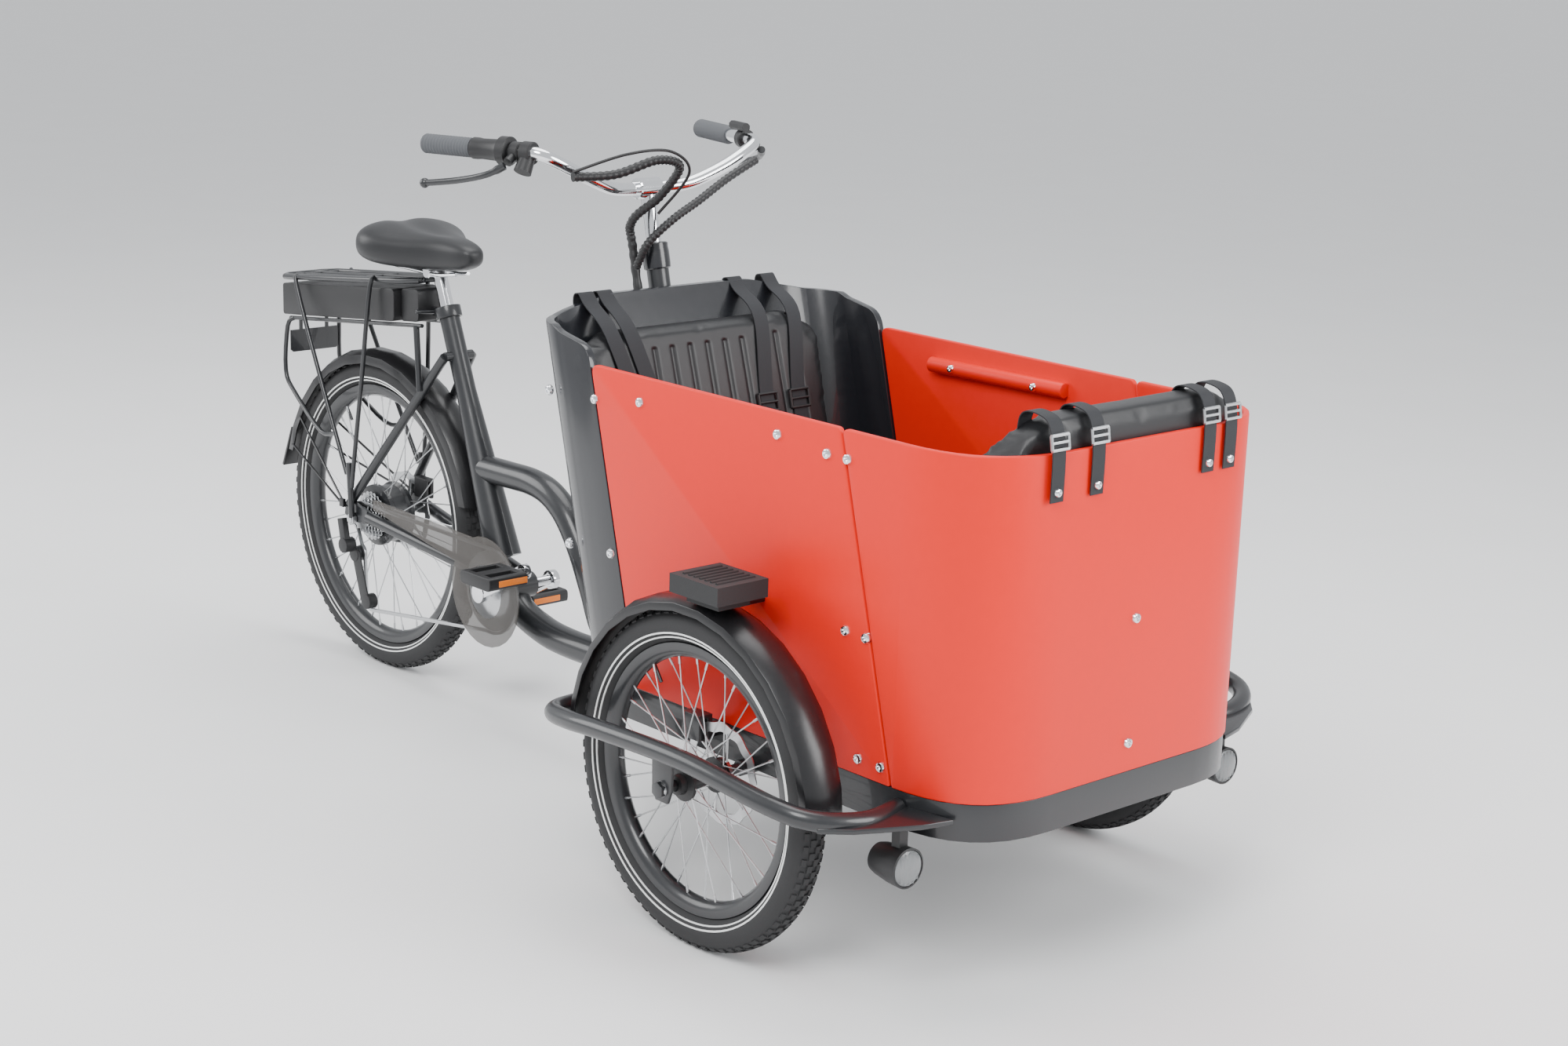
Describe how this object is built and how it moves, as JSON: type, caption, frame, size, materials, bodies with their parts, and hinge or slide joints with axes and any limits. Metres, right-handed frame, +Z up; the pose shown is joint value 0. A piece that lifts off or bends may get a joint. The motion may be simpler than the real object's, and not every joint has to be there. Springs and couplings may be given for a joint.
{
  "type": "front-box cargo tricycle",
  "caption": "Cargo tricycle with a steered open box on two front wheels, padded bench, upright bars and an electric-assist rear frame.",
  "frame": {"origin": "on the ground under the middle of the bounding box", "axes": "+X forward, +Y to the rider's left, +Z up"},
  "size_m": [2.2453, 1.0358, 1.133],
  "materials": {
    "red_panel": "satin painted board",
    "black_paint": "satin black powder coat",
    "black_panel": "semi-gloss charcoal laminate",
    "black_plastic": "moulded black plastic",
    "tyre_rubber": "black rubber with a pale reflective side stripe",
    "vinyl": "black upholstery vinyl",
    "chrome": "polished",
    "steel": "bare or stainless steel",
    "grip_rubber": "soft grey ribbed rubber",
    "smoked": "translucent smoked plastic",
    "red_lens": "clear red lens",
    "board": "dark coated plywood"
  },
  "bodies": {
    "rear_frame": {"main_frame": "black_paint", "rear_axle": "steel", "rear_brake_caliper": "black_plastic", "rear_fender": "black_plastic", "seat_clamp": "black_paint", "rear_rack": "black_paint", "controller_box": "black_plastic", "derailleur": "black_paint", "chain": "steel", "chain_guard": "smoked"},
    "battery_pack": {"battery": "black_plastic", "tail_light": "red_lens"},
    "saddle_post": {"seat_post": "chrome", "saddle": "vinyl"},
    "crank": {"crank_arm_right": "black_paint", "crank_arm_left": "black_paint", "chainring": "black_paint"},
    "right_pedal": {"pedal_right": "black_plastic"},
    "left_pedal": {"pedal_left": "black_plastic"},
    "rear_wheel": {"rear_tyre": "tyre_rubber", "rear_rim": "black_paint", "rear_hub_motor": "black_paint", "rear_brake_disc": "steel", "rear_sprockets": "steel"},
    "front_module": {"box_frame": "black_paint", "box_floor": "board", "rear_wall": "black_panel", "side_panel_right": "red_panel", "side_panel_left": "red_panel", "front_panel": "red_panel", "bench_seat": "board", "seat_cushion": "vinyl", "backrest_cushion": "vinyl", "front_pad": "vinyl", "front_axle": "steel", "front_fender_right": "black_plastic", "front_fender_left": "black_plastic", "step_pad_right": "black_plastic", "step_pad_left": "black_plastic", "bumper_bar_right": "black_paint", "bumper_bar_left": "black_paint", "headlight_right": "black_plastic", "headlight_left": "black_plastic", "steering_column": "black_paint", "stem": "chrome", "handlebar": "chrome", "grip_right": "grip_rubber", "grip_left": "grip_rubber", "control_cables": "black_plastic"},
    "front_wheel_right": {"front_tyre_right": "tyre_rubber", "front_rim_right": "black_paint", "front_hub_spokes_right": "steel", "front_brake_disc_right": "steel"},
    "front_wheel_left": {"front_tyre_left": "tyre_rubber", "front_rim_left": "black_paint", "front_hub_spokes_left": "steel", "front_brake_disc_left": "steel"},
    "throttle_twist": {"throttle": "black_plastic"},
    "right_lever": {"brake_lever_right": "black_paint"},
    "left_lever": {"brake_lever_left": "black_paint"}
  },
  "joints": [
    {"name": "steering", "type": "hinge", "parent": "rear_frame", "child": "front_module", "pos_m": [0.41165, 0, 0.2], "axis": [0, 0, 1], "range_deg": [-35, 35]},
    {"name": "rear_wheel_spin", "type": "hinge", "parent": "rear_frame", "child": "rear_wheel", "pos_m": [-0.78235, 0, 0.308], "axis": [0, 1, 0], "continuous": true},
    {"name": "front_wheel_right_spin", "type": "hinge", "parent": "front_module", "child": "front_wheel_right", "pos_m": [0.66165, -0.417, 0.26], "axis": [0, 1, 0], "continuous": true},
    {"name": "front_wheel_left_spin", "type": "hinge", "parent": "front_module", "child": "front_wheel_left", "pos_m": [0.66165, 0.417, 0.26], "axis": [0, 1, 0], "continuous": true},
    {"name": "crank_spin", "type": "hinge", "parent": "rear_frame", "child": "crank", "pos_m": [-0.35435, 0, 0.256], "axis": [0, 1, 0], "continuous": true},
    {"name": "pedal_right_spin", "type": "hinge", "parent": "crank", "child": "right_pedal", "pos_m": [-0.22191, -0.148, 0.32642], "axis": [0, 1, 0], "continuous": true},
    {"name": "pedal_left_spin", "type": "hinge", "parent": "crank", "child": "left_pedal", "pos_m": [-0.48679, 0.148, 0.18558], "axis": [0, 1, 0], "continuous": true},
    {"name": "seat_height", "type": "slide", "parent": "rear_frame", "child": "saddle_post", "axis": [-0.3796, 0, 0.9251], "range_m": [0, 0.11]},
    {"name": "battery_slide", "type": "slide", "parent": "rear_frame", "child": "battery_pack", "axis": [-0.9942, 0, -0.1074], "range_m": [0, 0.3]},
    {"name": "throttle_turn", "type": "hinge", "parent": "front_module", "child": "throttle_twist", "pos_m": [-0.07526, -0.26077, 1.10461], "axis": [-0.9578, -0.2873, -0.0043], "range_deg": [0, 50], "stiffness_Nm_per_rad": 0.3, "springref_deg": -28.65},
    {"name": "brake_lever_right_pull", "type": "hinge", "parent": "front_module", "child": "right_lever", "pos_m": [-0.01767, -0.27898, 1.08483], "axis": [-0.2283, 0.7669, -0.5997], "range_deg": [0, 15], "stiffness_Nm_per_rad": 1, "springref_deg": -28.65},
    {"name": "brake_lever_left_pull", "type": "hinge", "parent": "front_module", "child": "left_lever", "pos_m": [-0.01767, 0.27898, 1.08483], "axis": [0.2283, 0.7669, 0.5997], "range_deg": [0, 15], "stiffness_Nm_per_rad": 1, "springref_deg": -28.65}
  ]
}
